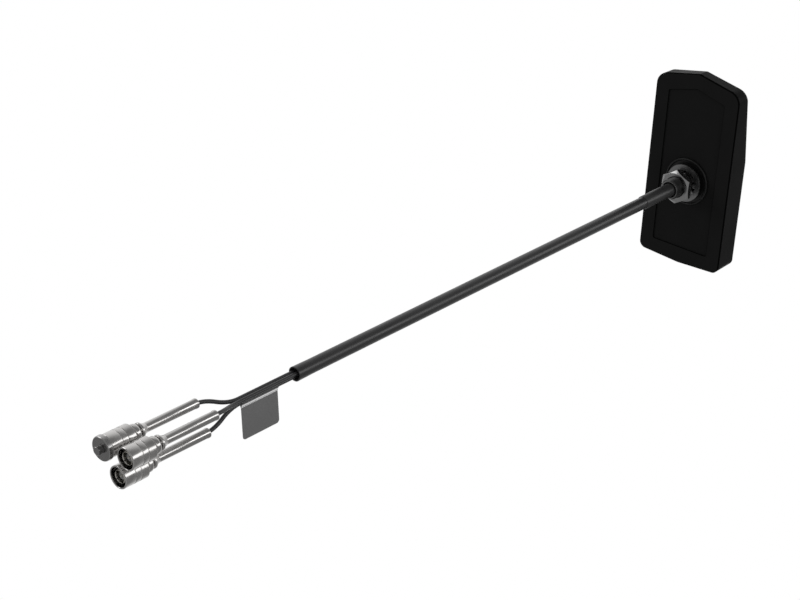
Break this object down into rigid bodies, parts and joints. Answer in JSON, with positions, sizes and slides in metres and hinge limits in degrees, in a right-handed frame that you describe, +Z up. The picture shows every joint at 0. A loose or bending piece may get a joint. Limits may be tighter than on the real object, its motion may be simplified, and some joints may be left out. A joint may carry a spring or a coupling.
{
  "type": "communication antenna",
  "caption": "Low wedge-nosed antenna housing on a hollow nut-and-washer stud, with a sleeved cable, label flag and coaxial leads ending in push-pull plugs.",
  "frame": {"origin": "on the stud's axis in the plane of the mounting face", "axes": "+Z up from the mounting face through the radome, +Y towards the pointed nose, +X to the side; the stud and the cable point along -Z"},
  "size_m": [0.0738, 0.158, 0.6049],
  "materials": {
    "radome": "fine-textured moulded black, satin",
    "base": "smooth moulded black",
    "rubber": "soft black rubber",
    "stud": "dark nickel plate",
    "nut": "nickel plate",
    "washer": "nickel plate",
    "board": "green solder mask",
    "screws": "zinc plate",
    "patch": "fired ceramic with silvered top",
    "tin": "tin plate",
    "sleeve": "satin black tubing",
    "jacket": "black extruded jacket",
    "label": "grey film",
    "cap": "turned and nickel plated",
    "nickel": "turned and nickel plated",
    "contact": "bright plated spring brass",
    "insulator": "white fluoroplastic",
    "spring": "spring steel"
  },
  "bodies": {
    "antenna": {"base_plate": "base", "board_screws": "screws", "cable_grommet": "rubber", "cable_sleeve": "sleeve", "centre_pin_1": "contact", "centre_pin_2": "contact", "centre_pin_3": "contact", "circuit_board": "board", "coax_lead_1": "jacket", "coax_lead_2": "jacket", "coax_lead_3": "jacket", "crimp_ferrule_1": "nickel", "crimp_ferrule_2": "nickel", "crimp_ferrule_3": "nickel", "end_cap": "cap", "hex_nut": "nut", "insulator_1": "insulator", "insulator_2": "insulator", "insulator_3": "insulator", "label_flag": "label", "lead_terminals": "tin", "lock_washer": "washer", "main_radiator": "tin", "mounting_gasket": "rubber", "navigation_patch": "patch", "outer_contact_1": "contact", "outer_contact_2": "contact", "outer_contact_3": "contact", "patch_pin": "tin", "perimeter_seal": "rubber", "plug_body_1": "nickel", "plug_body_2": "nickel", "plug_body_3": "nickel", "radome": "radome", "return_spring_1": "spring", "return_spring_2": "spring", "return_spring_3": "spring", "second_radiator": "tin", "shield_can": "tin", "strain_relief": "sleeve", "threaded_stud": "stud"},
    "barrel_1": {"release_sleeve_1": "nickel"},
    "barrel_2": {"release_sleeve_2": "nickel"},
    "barrel_3": {"release_sleeve_3": "nickel"}
  },
  "joints": [
    {"name": "release_slide_1", "type": "slide", "parent": "antenna", "child": "barrel_1", "axis": [0, 0, 1], "range_m": [0, 0.0012], "stiffness_N_per_m": 2000, "springref_m": -0.002},
    {"name": "release_slide_2", "type": "slide", "parent": "antenna", "child": "barrel_2", "axis": [0, 0, 1], "range_m": [0, 0.0012], "stiffness_N_per_m": 2000, "springref_m": -0.002},
    {"name": "release_slide_3", "type": "slide", "parent": "antenna", "child": "barrel_3", "axis": [0, 0, 1], "range_m": [0, 0.0012], "stiffness_N_per_m": 2000, "springref_m": -0.002}
  ]
}
